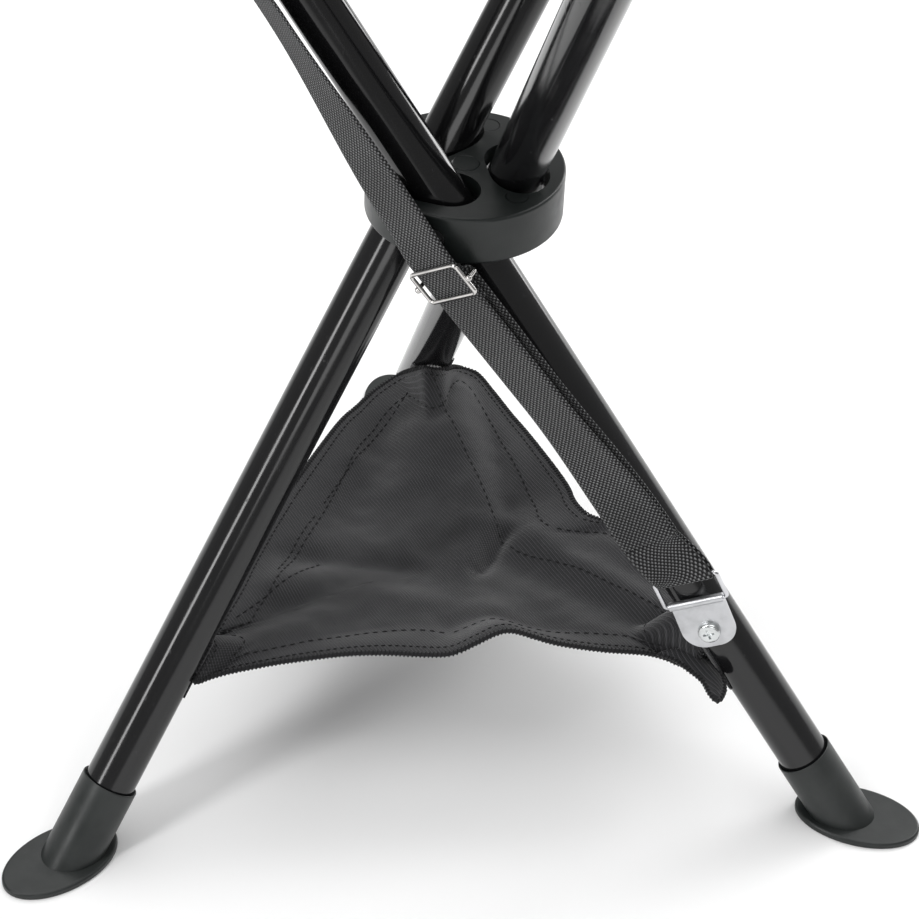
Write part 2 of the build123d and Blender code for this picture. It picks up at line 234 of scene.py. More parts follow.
class Shader:
    """A node material with one Principled shader; values on its sockets, nodes where something varies."""

    def __init__(self, name, **values):
        self.material = bpy.data.materials.new(name)
        self.material.use_nodes = True
        self.tree = self.material.node_tree
        self.shader = next(n for n in self.tree.nodes if n.type == "BSDF_PRINCIPLED")
        for key, value in values.items():
            self.shader.inputs[key.replace("_", " ")].default_value = value

    def node(self, kind, inputs=None, **settings):
        made = self.tree.nodes.new(kind)
        for key, value in settings.items():
            setattr(made, key, value)
        for key, value in (inputs or {}).items():
            self.put(value, made.inputs[key])
        return made

    def put(self, value, socket):
        if isinstance(value, bpy.types.NodeSocket):
            self.tree.links.new(value, socket)
        else:
            socket.default_value = value

    def math(self, operation, *values):
        return self.node("ShaderNodeMath", dict(enumerate(values)), operation=operation).outputs[0]

    def vector(self, operation, first, second):
        return self.node("ShaderNodeVectorMath", {0: first, 1: second}, operation=operation)

    def spread(self, value, low, high, to_low, to_high):
        """Maps low..high of value to to_low..to_high, clamped."""
        inputs = {"Value": value, "From Min": low, "From Max": high, "To Min": to_low, "To Max": to_high}
        return self.node("ShaderNodeMapRange", inputs).outputs["Result"]

    def noise(self, vector, scale, detail=3.0, rough=0.55):
        inputs = {"Vector": vector, "Scale": scale, "Detail": detail, "Roughness": rough}
        return self.node("ShaderNodeTexNoise", inputs).outputs["Fac"]

    def mix(self, factor, first, second):
        made = self.node("ShaderNodeMix", data_type="RGBA")
        self.put(factor, made.inputs["Factor"])
        for socket, colour in (("A", first), ("B", second)):
            target = next(i for i in made.inputs if i.name == socket and i.type == "RGBA")
            self.put(colour if isinstance(colour, bpy.types.NodeSocket) else (*colour, 1.0), target)
        return next(o for o in made.outputs if o.type == "RGBA")

    def colour(self, value):
        self.put(value, self.shader.inputs["Base Color"])

    def rough(self, value):
        self.put(value, self.shader.inputs["Roughness"])

    def bump(self, height, distance, strength=1.0):
        made = self.node("ShaderNodeBump", {"Height": height, "Distance": distance, "Strength": strength})
        if not self.shader.inputs["Normal"].links:
            self.put(made.outputs["Normal"], self.shader.inputs["Normal"])
        return made.outputs["Normal"]

    def place(self):
        return self.node("ShaderNodeTexCoord").outputs["Object"]

    def cloth_place(self):
        return self.node("ShaderNodeUVMap", uv_map="cloth").outputs["UV"]


def enamel():
    s = Shader("black_enamel", Specular_IOR_Level=0.5)
    place = s.place()
    mottle = s.noise(place, 38.0, 4.0)
    scuffs = s.vector("MULTIPLY", place, (1.0, 1.0, 0.12)).outputs[0]
    scratch = s.noise(scuffs, 420.0, 2.0)
    worn = s.spread(scratch, 0.68, 0.80, 0.0, 0.35)
    s.colour(s.mix(worn, (0.0065, 0.0065, 0.007), (0.045, 0.045, 0.047)))
    s.rough(s.math("ADD", s.spread(mottle, 0.3, 0.7, 0.10, 0.17), s.math("MULTIPLY", worn, 0.5)))
    s.bump(s.noise(place, 160.0, 2.0), 0.00004, 0.5)
    return s.material


def moulded(name, base, light, rough_low, rough_high, marks=()):
    """Satin moulded plastic with a fine grain, rubbed paler patches and round sunken mould marks."""
    s = Shader(name, Specular_IOR_Level=0.36)
    place = s.place()
    patches = s.noise(place, 45.0, 5.0)
    s.colour(s.mix(s.spread(patches, 0.42, 0.72, 0.0, 1.0), base, light))
    s.rough(s.spread(s.noise(place, 120.0, 4.0), 0.3, 0.7, rough_low, rough_high))
    fine = s.bump(s.noise(place, 1500.0, 2.0), MOULD_GRAIN, 0.6)
    if marks:
        flat = s.vector("MULTIPLY", place, (1.0, 1.0, 0.0)).outputs[0]
        height = 1.0
        for centre, radius in marks:
            away = s.vector("DISTANCE", flat, centre).outputs["Value"]
            height = s.math("MINIMUM", height, s.spread(away, radius - MARK_WALL, radius, 0.0, 1.0))
        s.put(s.bump(height, MARK_DEPTH), fine.node.inputs["Normal"])
    return s.material


def metal(name, colour, rough_low, rough_high, grain=0.00002, scale=300.0):
    s = Shader(name, Metallic=1.0)
    place = s.place()
    tarnish = s.noise(place, 90.0, 4.0)
    dull = tuple(c * 0.72 for c in colour)
    s.colour(s.mix(s.spread(tarnish, 0.45, 0.75, 0.0, 1.0), colour, dull))
    s.rough(s.spread(s.noise(place, scale, 3.0), 0.3, 0.7, rough_low, rough_high))
    s.bump(s.noise(place, scale * 2, 2.0), grain, 0.5)
    return s.material


def woven(name, base, light, pitch, relief, sheen, twill=0.0):
    """Plain weave from the cloth's own flat coordinates in metres; twill leans it into diagonal lines."""
    s = Shader(name, Sheen_Weight=sheen, Sheen_Roughness=0.45, Specular_IOR_Level=0.25)
    place = s.cloth_place()
    axes = s.node("ShaderNodeSeparateXYZ", {0: place})
    wobble = s.math("MULTIPLY", s.noise(place, 260.0, 2.0), 0.9)
    turns = 2 * math.pi / pitch
    warp = s.math("SINE", s.math("ADD", s.math("MULTIPLY", axes.outputs["X"], turns), wobble))
    weft = s.math("SINE", s.math("ADD", s.math("MULTIPLY", axes.outputs["Y"], turns), wobble))
    weave = s.math("MULTIPLY", warp, weft)
    if twill:
        run = s.math("ADD", axes.outputs["X"], axes.outputs["Y"])
        lines = s.math("SINE", s.math("MULTIPLY", run, turns * 0.5))
        weave = s.math("ADD", s.math("MULTIPLY", weave, 1 - twill), s.math("MULTIPLY", lines, twill))
    fibre = s.noise(place, 2600.0, 2.0)
    shade = s.noise(place, 22.0, 5.0, 0.6)
    dots = s.spread(weave, 0.0, 0.95, 0.0, 1.0)
    patchy = s.spread(shade, 0.3, 0.7, 0.62, 1.0)
    factor = s.math("MULTIPLY", s.math("MULTIPLY", dots, patchy), s.spread(fibre, 0.3, 0.7, 0.6, 1.15))
    s.colour(s.mix(factor, base, light))
    s.rough(0.82)
    height = s.math("ADD", weave, s.math("MULTIPLY", fibre, 0.5))
    s.bump(height, relief, 0.8)
    return s.material


def thread_material(name, colour):
    s = Shader(name, Sheen_Weight=0.05, Specular_IOR_Level=0.2)
    twist = s.noise(s.place(), 1800.0, 2.0)
    s.colour(s.mix(twist, tuple(c * 0.5 for c in colour), colour))
    s.rough(0.7)
    s.bump(twist, 0.0001, 0.6)
    return s.material


def hub_marks():
    """Centre and radius of a mark at the hub's middle and of one between each two tubes."""
    angles = (math.pi / 3, math.pi, 5 * math.pi / 3)
    around = [(MARK_REACH * math.cos(a), MARK_REACH * math.sin(a), 0) for a in angles]
    return [((0, 0, 0), MIDDLE_MARK)] + [(place, OUTER_MARK) for place in around]


PAINT = {
    "tube_enamel": enamel(),
    "hub_plastic": moulded("hub_moulding", (0.0115, 0.014, 0.0135), (0.019, 0.022, 0.021), 0.30, 0.42,
                           marks=hub_marks()),
    "foot_plastic": moulded("foot_moulding", (0.016, 0.0185, 0.018), (0.029, 0.032, 0.031), 0.32, 0.46),
    "plug_plastic": moulded("plug_moulding", (0.012, 0.012, 0.012), (0.02, 0.02, 0.02), 0.4, 0.55),
    "pin_steel": metal("pin_metal", (0.52, 0.52, 0.53), 0.25, 0.4),
    "screw_steel": metal("screw_metal", (0.68, 0.70, 0.70), 0.16, 0.3),
    "washer_steel": metal("washer_metal", (0.6, 0.6, 0.62), 0.2, 0.35),
    "tab_zinc": metal("zinc_sheet", (0.56, 0.565, 0.58), 0.30, 0.42, 0.00003, 180.0),
    "ring_wire": metal("bright_wire", (0.62, 0.62, 0.64), 0.05, 0.10),
    "slider_wire": metal("nickel_wire", (0.64, 0.625, 0.61), 0.06, 0.12),
}
CLOTH_WEAVE = {"pitch": 0.00095, "relief": 0.00020, "sheen": 0.30, "twill": 0.35}
POUCH_CLOTH = woven("pouch_weave", (0.013, 0.013, 0.0145), (0.078, 0.078, 0.084), **CLOTH_WEAVE)
SEAT_CLOTH = woven("seat_weave", (0.015, 0.015, 0.017), (0.075, 0.075, 0.08), **CLOTH_WEAVE)
WEBBING = woven("webbing_weave", (0.0045, 0.0045, 0.005), (0.30, 0.305, 0.31), 0.0021, 0.0005, 0.12)
BINDING = woven("hem_weave", (0.010, 0.010, 0.011), (0.05, 0.05, 0.055), 0.0011, 0.0002, 0.3)
THREAD = thread_material("black_thread", (0.011, 0.011, 0.012))

for node, obj in frame["nodes"].items():
    slot_name = next(s["material_slot"] for s in frame["record"]["subparts"] if s["node"] == node)
    if slot_name in PAINT:
        obj.data.materials.clear()
        obj.data.materials.append(PAINT[slot_name])


# ---- Camera, floor and lights ----
CAMERA_PLACE = (-0.23633, -0.97004, 0.94376)
CAMERA_TURN = (-13.909, 39.087, 3.038)      # azimuth, elevation and roll in degrees
CAMERA_LENS = 115.56
FLOOR_REACH = 6.0


def add_camera():
    """The photograph's view, as fitted to the legs, the hub and the feet."""
    data = bpy.data.cameras.new("camera")
    data.sensor_width = 36.0
    data.lens = CAMERA_LENS
    data.clip_start = 0.05
    azimuth, elevation, roll = (math.radians(a) for a in CAMERA_TURN)
    back = Vector((math.sin(azimuth) * math.cos(elevation), -math.cos(azimuth) * math.cos(elevation),
                   math.sin(elevation)))
    level = Vector((math.cos(azimuth), math.sin(azimuth), 0))
    over = back.cross(level)
    right = level * math.cos(roll) + over * math.sin(roll)
    top = over * math.cos(roll) - level * math.sin(roll)
    matrix = Matrix((right, top, back)).transposed().to_4x4()
    matrix.translation = Vector(CAMERA_PLACE)
    camera = bpy.data.objects.new("camera", data)
    camera.matrix_world = matrix
    bpy.context.scene.collection.objects.link(camera)
    bpy.context.scene.camera = camera


def add_area(name, place, target, size, power):
    data = bpy.data.lights.new(name, "AREA")
    data.shape = "RECTANGLE"
    data.size, data.size_y = size
    data.energy = power
    light = bpy.data.objects.new(name, data)
    light.location = place
    light.rotation_euler = (Vector(target) - Vector(place)).to_track_quat("-Z", "Y").to_euler()
    bpy.context.scene.collection.objects.link(light)


def add_studio():
    reach = FLOOR_REACH
    corners = [(-reach, -reach, 0), (reach, -reach, 0), (reach, reach, 0), (-reach, reach, 0)]
    floor = mesh_object("floor", corners, [(0, 1, 2, 3)], smooth_shading=False)
    s = Shader("pale_floor", Roughness=0.9)
    s.colour(s.mix(s.noise(s.place(), 1.5, 2.0), (0.90, 0.90, 0.90), (0.93, 0.93, 0.93)))
    floor.data.materials.append(s.material)
    world = bpy.data.worlds.new("studio")
    world.use_nodes = True
    sky = next(n for n in world.node_tree.nodes if n.type == "BACKGROUND")
    sky.inputs["Color"].default_value = (1, 1, 1, 1)
    sky.inputs["Strength"].default_value = 0.32
    bpy.context.scene.world = world
    add_area("overhead", (0.2, 0.5, 2.6), (0, 0, 0.2), (3.4, 3.4), 74)
    add_area("left_strip", (-1.7, -0.9, 1.3), (0, 0, 0.25), (0.35, 2.2), 22)
    add_area("right_strip", (1.7, 1.1, 1.0), (0, 0, 0.25), (0.6, 2.2), 24)
    add_area("front_fill", (-0.4, -2.4, 1.1), (0, 0, 0.2), (1.2, 0.9), 8)
    bpy.context.scene.view_settings.view_transform = "Standard"


add_camera()
add_studio()


# ---- Sheets that spread from a middle point ----
GRAIN = math.radians(25)
HEM_ROOM = 1.2          # mm that a sheet stops short of its outline, for the rolled hem
STITCH_LIFT = 0.7       # mm from the middle of a sheet up to the thread on it
HEM_THREAD = 0.38 * MM
WIND_STEPS = 7          # points to each turn of the hem's thread
FINE_STEPS = 1500       # parts that a sector's edge is measured in
MIDDLE_SHARE = 0.015    # the innermost row, as a share of the way to the edge
ROW_CROWDING = 0.85     # below 1 the rows lie closer together towards the edge
DASH_STEP = 0.6         # mm
ROLL_STEP = 1.2 * MM
ROLL_SIDES = 8


def along_grain(p):
    """The cloth's own flat coordinates: its warp runs at an angle to the front hem."""
    return (p.x * math.cos(GRAIN) - p.y * math.sin(GRAIN), p.x * math.sin(GRAIN) + p.y * math.cos(GRAIN))


class Spread:
    """A cloth sheet whose edge is seen whole from its middle, in mm; roll leaves room for its rolled hem."""

    def __init__(self, middle, edge, flat_height, held_width, roll):
        self.middle, self.flat_height, self.held_width = middle, flat_height, held_width
        self.rows = sorted((self.angle(p.x, p.y), self.distance(p.x, p.y) - roll, p.z) for p in edge)

    def angle(self, x, y):
        return math.degrees(math.atan2(y - self.middle[1], x - self.middle[0])) % 360

    def distance(self, x, y):
        return math.hypot(x - self.middle[0], y - self.middle[1])

    def edge(self, angle):
        """Distance and height of the edge at an angle."""
        angle %= 360
        k = bisect.bisect(self.rows, (angle,))
        before, after = self.rows[k - 1], self.rows[k % len(self.rows)]
        f = ((angle - before[0]) % 360) / ((after[0] - before[0]) % 360 or 1e-6)
        return before[1] + (after[1] - before[1]) * f, before[2] + (after[2] - before[2]) * f

    def point(self, angle, share, lift=0.0):
        """A point share of the way from the middle to the edge, in metres."""
        reach, edge_z = self.edge(angle)
        a = math.radians(angle)
        x = self.middle[0] + reach * share * math.cos(a)
        y = self.middle[1] + reach * share * math.sin(a)
        flat = self.flat_height(x, y)
        held = max(0.0, 1 - (1 - share) * reach / self.held_width)
        held = held * held * (3 - 2 * held)
        return Vector((x, y, flat + (edge_z - flat) * held + lift)) * MM

    def over(self, x, y, lift=0.0):
        angle = self.angle(x, y)
        return self.point(angle, min(1.0, self.distance(x, y) / self.edge(angle)[0]), lift)

    def angles(self, low, high, spacing):
        """Angles at even distances along part of the edge."""
        fine = [low + (high - low) * i / FINE_STEPS for i in range(FINE_STEPS + 1)]
        out, run = [low], 0.0
        points = [self.point(a, 1.0) for a in fine]
        for a, p, q in zip(fine[1:], points, points[1:]):
            run += (q - p).length
            if run >= spacing:
                out.append(a)
                run = 0.0
        if high - out[-1] < 0.3:
            out.pop()
        return out + [high]

    def inset(self, angles, distance, lift):
        """A line that far inside the edge."""
        return [self.point(a, 1 - distance / self.edge(a)[0], lift) for a in angles]

    def panel(self, name, angles, rows, thickness, material):
        """One sector, as a closed sheet whose shading runs on into its neighbours."""
        columns = len(angles)
        step = angles[1] - angles[0]
        wide = [angles[0] - step] + angles + [angles[-1] + step]
        shares = [MIDDLE_SHARE + (1 - MIDDLE_SHARE) * (i / (rows - 1)) ** ROW_CROWDING for i in range(rows)]
        grid = [[self.point(a, s) for a in wide] for s in shares]
        tops, normals = [], []
        for i, row in enumerate(grid):
            outer, inner = grid[min(i + 1, rows - 1)], grid[max(i - 1, 0)]
            for j in range(1, columns + 1):
                normal = (outer[j] - inner[j]).cross(row[j + 1] - row[j - 1]).normalized()
                tops.append(row[j])
                normals.append(normal if normal.z > 0 else -normal)
        centre = self.over(self.middle[0] + 0.01, self.middle[1] + 0.01)
        tops.append(centre)
        normals.append(UP.copy())
        count = len(tops)
        points = [p + n * (thickness / 2) for p, n in zip(tops, normals)]
        points += [p - n * (thickness / 2) for p, n in zip(tops, normals)]
        faces = [tuple(reversed(f)) for f in grid_faces(rows, columns)]
        faces += [(count - 1, j, j + 1) for j in range(columns - 1)]
        faces += [tuple(count + k for k in reversed(f)) for f in faces]
        outline = [count - 1] + [i * columns for i in range(rows)]
        outline += [(rows - 1) * columns + j for j in range(1, columns)]
        outline += [i * columns + columns - 1 for i in reversed(range(rows - 1))]
        for a, b in zip(outline, outline[1:] + outline[:1]):
            faces.append((b, a, count + a, count + b))
        sheet = mesh_object(name, points, faces, [along_grain(p) for p in points])
        sheet.data.normals_split_custom_set_from_vertices(normals + [-n for n in normals])
        sheet.data.materials.append(material)
        return sheet


def in_leg(leg, place):
    return (LEGS[leg] @ (Vector(place) * MM)) / MM


def follow_leg(obj, leg, place, start, end):
    """Bakes obj's placement into its mesh."""
    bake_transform(obj)


def dashes(points, dash=3.0, gap=1.2):
    """Short runs of thread along a line of metre points, as a sewing machine leaves them."""
    fine = resample(points, DASH_STEP * MM)
    on, step = round(dash / DASH_STEP), round((dash + gap) / DASH_STEP)
    return [fine[i:i + on] for i in range(0, len(fine) - on, step)]


def overlock(points, radius, pitch):
    """A thread wound round an edge."""
    fine = resample(points, pitch / WIND_STEPS)
    out = []
    for i, p in enumerate(fine):
        direction = (fine[min(i + 1, len(fine) - 1)] - fine[max(i - 1, 0)]).normalized()
        side = direction.cross(UP).normalized()
        top = side.cross(direction)
        a = 2 * math.pi * i / WIND_STEPS
        out.append(p + side * (radius * math.cos(a)) + top * (radius * math.sin(a)))
    return out


def edge_roll(name, points, radius, pitch):
    """A rolled hem with its overlocked thread."""
    v, f = tube_along(resample(points, ROLL_STEP), radius, ROLL_SIDES)
    roll = mesh_object(f"{name}_roll", v, f)
    roll.data.materials.append(BINDING)
    wound = threads(f"{name}_wound", [overlock(points, radius + HEM_THREAD * 0.4, pitch)], HEM_THREAD)
    return join(name, [roll, wound])


# ---- Lower cloth (pouch), in millimetres unless a name or comment says otherwise ----
POUCH_LEVEL = 74.0
POUCH_MIDDLE = (2.0, 8.0)
POUCH_HELD = 26.0           # how far in from the edge the sheet keeps the edge's height
POUCH_THICK = 1.0
POUCH_HEM = 1.0             # radius of the rolled hem
POUCH_HEM_PITCH = 1.75
POUCH_SEAM_IN = (4.5, 19.0)     # how far inside the edge its two rows of stitches run
POUCH_CORNER = (0, -16, -240)   # a corner of the sheet, in a leg's own frame
POUCH_FOLLOW = (0.046, 0.112)   # metres from the middle, passed to follow_leg
POUCH_STEP = 2.0                # between points along the edge
POUCH_ROWS = 60
POUCH_THREAD = 0.38
FIXING_R = 11.45            # middle of the corner's back layer, round the tube
FIXING_THICK = 0.7
FOLD_SCALE = 0.8
BOWL_DEPTH = 9.0
BOWL_RADIUS = 62.0
TONGUE_STEP = 2.2
TONGUE_COLUMNS = 9
TONGUE_ARCH = 3.0
TONGUE_HEM = 0.9
TONGUE_HEM_PITCH = 1.9

# Where the cloth lies round each tube: (outward, across, along) in that leg's own frame.
LIP = [(24.5, -9.5, -241), (20.6, -5.5, -244), (16.0, -4.0, -243), (10.6, -5.9, -234), (3.7, -11.0, -219),
       (-1.8, -11.5, -216), (-6.4, -9.8, -217), (-9.4, -7.2, -228), (-14.8, -5.2, -242)]
LIPS = {
    "a": [(6.9, -9.4, -231)] + LIP[4:],
    "b": [(12.6, -7.0, -241), (8.6, -8.2, -236), (3.9, -10.9, -231), (-1.8, -11.5, -230), (-5.9, -9.9, -231),
          (-8.4, -7.7, -236), (-10.6, -5.2, -243.5)],
    "c": LIP,
}
RIGHT_EDGE = [(112, -18, 74), (104, -7, 74), (96, 6, 74), (86, 11.5, 75), (77.7, 14.5, 75),
              (71.3, 20.5, 74.5), (67.9, 31, 74), (67.2, 42.1, 74), (63.9, 58.3, 74), (57.5, 84.4, 73.5),
              (53.2, 100, 73), (48.6, 119, 72.5)]
LEFT_EDGE = [(-8.5, 129, 73), (-18.6, 118, 73.5), (-29.5, 106.5, 74), (-48.4, 80.1, 74), (-66, 54, 74),
             (-84.4, 22, 74), (-98, -6, 74), (-107, -22, 74), (-114, -33, 74)]
HEM = [(-116.6, -58.0, 73.6), (-109, -56.6, 74), (-101.2, -55.5, 74), (-88, -54.2, 74), (-74.4, -53.7, 74),
       (-56.5, -53.8, 74), (-38.9, -56.1, 74), (-21.7, -60.2, 74), (-10.5, -63.0, 75.5), (0.0, -62.5, 79.5),
       (10.0, -61.8, 83.5), (17.0, -62.2, 84.0), (26.0, -64.0, 81.0), (37.3, -66.5, 77.5), (55.6, -70.6, 75),
       (74.4, -74.0, 73.4), (83.5, -76.2, 71), (90.0, -81.5, 71)]
TONGUE = (
    [(78, -74.5, 73.6), (84.5, -79.5, 73.8), (89.2, -87.3, 74), (93.2, -95.1, 74), (94.1, -103.3, 74),
     (95.6, -108.0, 74)],
    [(94, -80, 76), (97, -84, 76), (99.5, -88.5, 75.5), (101.8, -94.6, 74.5), (100.8, -102, 74),
     (97.2, -107.6, 74)],
)
FOLDS = [   # (x1, y1, x2, y2, height, width): a soft ridge, or a dent if height is negative
    (31, 128, 26, 34, 5.0, 13), (40, 112, 36, 24, -4.0, 7), (8, 122, -36, 44, -4.0, 11),
    (-84, 22, -22, 8, -4.0, 8), (-84, 2, -20, -16, 3.5, 10), (31, 20, 17, 2, -6.0, 4.5),
    (20, 46, 12, 8, 3.0, 8), (38, 22, 84, -44, 4.0, 8), (30, 2, 74, -52, -3.0, 9),
    (60, 52, 66, 22, -2.5, 8), (56, 16, 98, -20, 2.5, 10),
    (14, -62, 14, -34, 4.0, 10), (-14, -64, -8, -40, -2.5, 9), (42, -66, 34, -40, -2.5, 10),
    (19, 120, 15, 88, 11.0, 19), (-108, -48, -60, -26, 2.5, 9), (-100, -30, -50, -6, -2.5, 8),
    (2, 108, -4, 62, 2.5, 9), (-30, 90, -18, 60, 2.5, 9),
]
SECTORS = {"c": (10.0, 146.0), "b": (146.0, 262.0), "a": (262.0, 370.0)}    # degrees about POUCH_MIDDLE
SEAMS = [   # stitched lines over the sheet
    [(14, 122), (20, 90), (27, 50), (33, 13), (56, -12), (84, -46), (94, -66)],
    [(-98, -22), (-70, 0), (-52, 16)],
    [(6, 118), (-24, 82), (-58, 34), (-76, 4)],
]


def fold_height(x, y):
    total = 0.0
    for x1, y1, x2, y2, height, width in FOLDS:
        dx, dy = x2 - x1, y2 - y1
        length = math.hypot(dx, dy)
        along = ((x - x1) * dx + (y - y1) * dy) / length
        across = ((x - x1) * dy - (y - y1) * dx) / length
        past = max(0.0, -along, along - length)
        total += FOLD_SCALE * height * math.exp(-(across / width) ** 2 - (past / (width * 1.4)) ** 2)
    return total


def pouch_height(x, y):
    """The sheet's own height away from its edges: a slack bowl with folds."""
    from_middle = math.hypot(x - POUCH_MIDDLE[0], y - POUCH_MIDDLE[1])
    bowl = -BOWL_DEPTH * math.exp(-(from_middle / BOWL_RADIUS) ** 2)
    ripple = noise.noise(Vector((x, y, 3.0)) / 23.0) * 1.2 + noise.noise(Vector((x, y, 7.0)) / 9.0) * 0.45
    return POUCH_LEVEL + bowl + fold_height(x, y) + ripple


def pouch_edge():
    lips = {leg: [in_leg(leg, p) for p in lip] for leg, lip in LIPS.items()}
    points = lips["a"] + [Vector(p) for p in RIGHT_EDGE] + lips["c"] + [Vector(p) for p in LEFT_EDGE]
    return curve_through(points + lips["b"] + [Vector(p) for p in HEM], 12, closed=True)


def build_tongue():
    """The loose end of the cloth beside leg a."""
    sides = [curve_through([Vector(p) * MM for p in side], 8) for side in TONGUE]
    left, right = (resample(side, TONGUE_STEP * MM) for side in sides)
    rows = min(len(left), len(right))
    points = []
    for i in range(rows):
        a = left[i * (len(left) - 1) // (rows - 1)]
        b = right[i * (len(right) - 1) // (rows - 1)]
        for c in range(TONGUE_COLUMNS):
            s = c / (TONGUE_COLUMNS - 1)
            arch = TONGUE_ARCH * MM * math.sin(math.pi * s) * (1 - 0.5 * i / rows)
            points.append(a.lerp(b, s) + UP * arch)
    faces = grid_faces(rows, TONGUE_COLUMNS)
    tongue = mesh_object("pouch_tongue", points, faces, [along_grain(p) for p in points])
    thicken(tongue, POUCH_THICK * MM)
    tongue.data.materials.append(POUCH_CLOTH)
    rim = left + [right[-1]] + list(reversed(right))
    return tongue, edge_roll("pouch_tongue_hem", rim, TONGUE_HEM * MM, TONGUE_HEM_PITCH * MM)


def seams_in(sheet, low, high):
    """The stitches of the seams that cross one sector."""
    runs = []
    for seam in SEAMS:
        line = curve_through([Vector((x, y, 0)) for x, y in seam], 10)
        inside = [p for p in line if (sheet.angle(p.x, p.y) - low) % 360 < high - low]
        if len(inside) > 2:
            runs += dashes([sheet.over(p.x, p.y, STITCH_LIFT) for p in inside])
    return runs


def build_pouch():
    sheet = Spread(POUCH_MIDDLE, pouch_edge(), pouch_height, POUCH_HELD, HEM_ROOM)
    outer_seam, inner_seam = POUCH_SEAM_IN
    for leg, (low, high) in SECTORS.items():
        angles = sheet.angles(low, high, POUCH_STEP * MM)
        edge = [sheet.point(a, 1.0) for a in angles]
        panel = sheet.panel(f"pouch_{leg}", angles, POUCH_ROWS, POUCH_THICK * MM, POUCH_CLOTH)
        hem = edge_roll(f"pouch_hem_{leg}", edge, POUCH_HEM * MM, POUCH_HEM_PITCH * MM)
        runs = dashes(sheet.inset(angles, outer_seam, STITCH_LIFT), 2.2, 1.0)
        runs += dashes(sheet.inset(angles, inner_seam, STITCH_LIFT))
        runs += seams_in(sheet, low, high)
        stitches = threads(f"pouch_stitches_{leg}", runs, POUCH_THREAD * MM)
        pieces = [panel, hem, stitches]
        if leg == "a":
            tongue, tongue_hem = build_tongue()
            pieces += [tongue, tongue_hem]
        place = in_leg(leg, POUCH_CORNER) * MM
        for obj in pieces:
            follow_leg(obj, leg, place, *POUCH_FOLLOW)
            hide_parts("pouch_panel")
        build_pouch_fixing(leg)


def build_pouch_fixing(leg):
    """The corner's back layer: turned down from the lip and held to the tube under the washer."""
    columns, rows = 15, 30
    top, length, half_width = -224, 28.0, 12.5
    points, uvs = [], []
    for r in range(rows):
        along = top - length * r / (rows - 1)
        half = half_width - 2.5 * (r / (rows - 1)) ** 2
        for c in range(columns):
            across = half * (2 * c / (columns - 1) - 1)
            a = across / 11.5
            points.append(in_leg(leg, (FIXING_R * math.sin(a), -FIXING_R * math.cos(a), along)) * MM)
            uvs.append((across * MM, along * MM))
    back = mesh_object(f"pouch_fixing_{leg}", points, grid_faces(rows, columns), uvs)
    thicken(back, FIXING_THICK * MM)
    back.data.materials.append(POUCH_CLOTH)
    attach(back, f"leg_{leg}")
    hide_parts("pouch_panel")


build_pouch()


# ---- Webbing strap, in millimetres ----
WEBBING_HALF = 12.7
WEBBING_THICK = 1.4
RING_BAR = 1.0          # radius of the wire that the strap turns round in each ring
SLIDER_BAR = 0.9        # and of the slider's own bar
BAR_GAP = 0.15
STRAP_STEP = 1.1        # between points along the strap
SPLIT_LEVEL = -166      # where the run round the lower ring starts and ends, down the leg
ACROSS_STEPS = 8        # from the middle of the strap to either edge
TACK_ROWS = 3
TACK_STEPS = 40
TACK_THREAD = 0.22


def strap_places():
    """Frames down the strap: local X off its face, Y across it, and it runs down local -Z."""
    leg = LEGS["a"]
    ring = shift(13.15, 0, 16.5) @ turn("Y", 9) @ shift(0, 0, 14.6)
    low = leg @ shift(0, 0, -218) @ turn("Z", 8) @ turn("X", -10) @ ring
    high = leg @ shift(0, 0, 232) @ turn("Z", -65) @ turn("X", 180) @ ring
    here = leg @ (Vector((24.4, -3.9, -17.5)) * MM)
    up = (here - low.translation).normalized()
    face = leg.to_3x3() @ Vector((math.cos(math.radians(-18)), math.sin(math.radians(-18)), 0))
    face = (face - up * face.dot(up)).normalized()
    slider = Matrix((face, up.cross(face), up)).transposed().to_4x4()
    slider.translation = here
    return leg, low, high, slider


def round_bar(bar, radius, start):
    """Frames half-way round a bar, from the start angle in degrees."""
    step = radius + BAR_GAP + WEBBING_THICK / 2
    return [bar @ turn("Y", start + 30 * i) @ shift(step, 0, 0) for i in range(7)]


def carry(places):
    """Even frames along a smooth line that leaves each place down its own -Z."""
    out = []
    for a, b in zip(places, places[1:]):
        p, q = a.translation, b.translation
        reach = (q - p).length
        u, v = -(a.col[2].xyz) * reach, -(b.col[2].xyz) * reach
        steps = max(2, round(reach / (STRAP_STEP * MM)))
        for k in range(steps):
            t = k / steps
            point = (p * (2 * t ** 3 - 3 * t ** 2 + 1) + u * (t ** 3 - 2 * t ** 2 + t)
                     + q * (3 * t ** 2 - 2 * t ** 3) + v * (t ** 3 - t ** 2))
            blend = t * t * (3 - 2 * t)
            out.append((point, a.col[1].xyz.lerp(b.col[1].xyz, blend).normalized()))
    out.append((places[-1].translation.copy(), places[-1].col[1].xyz.normalized()))
    return out


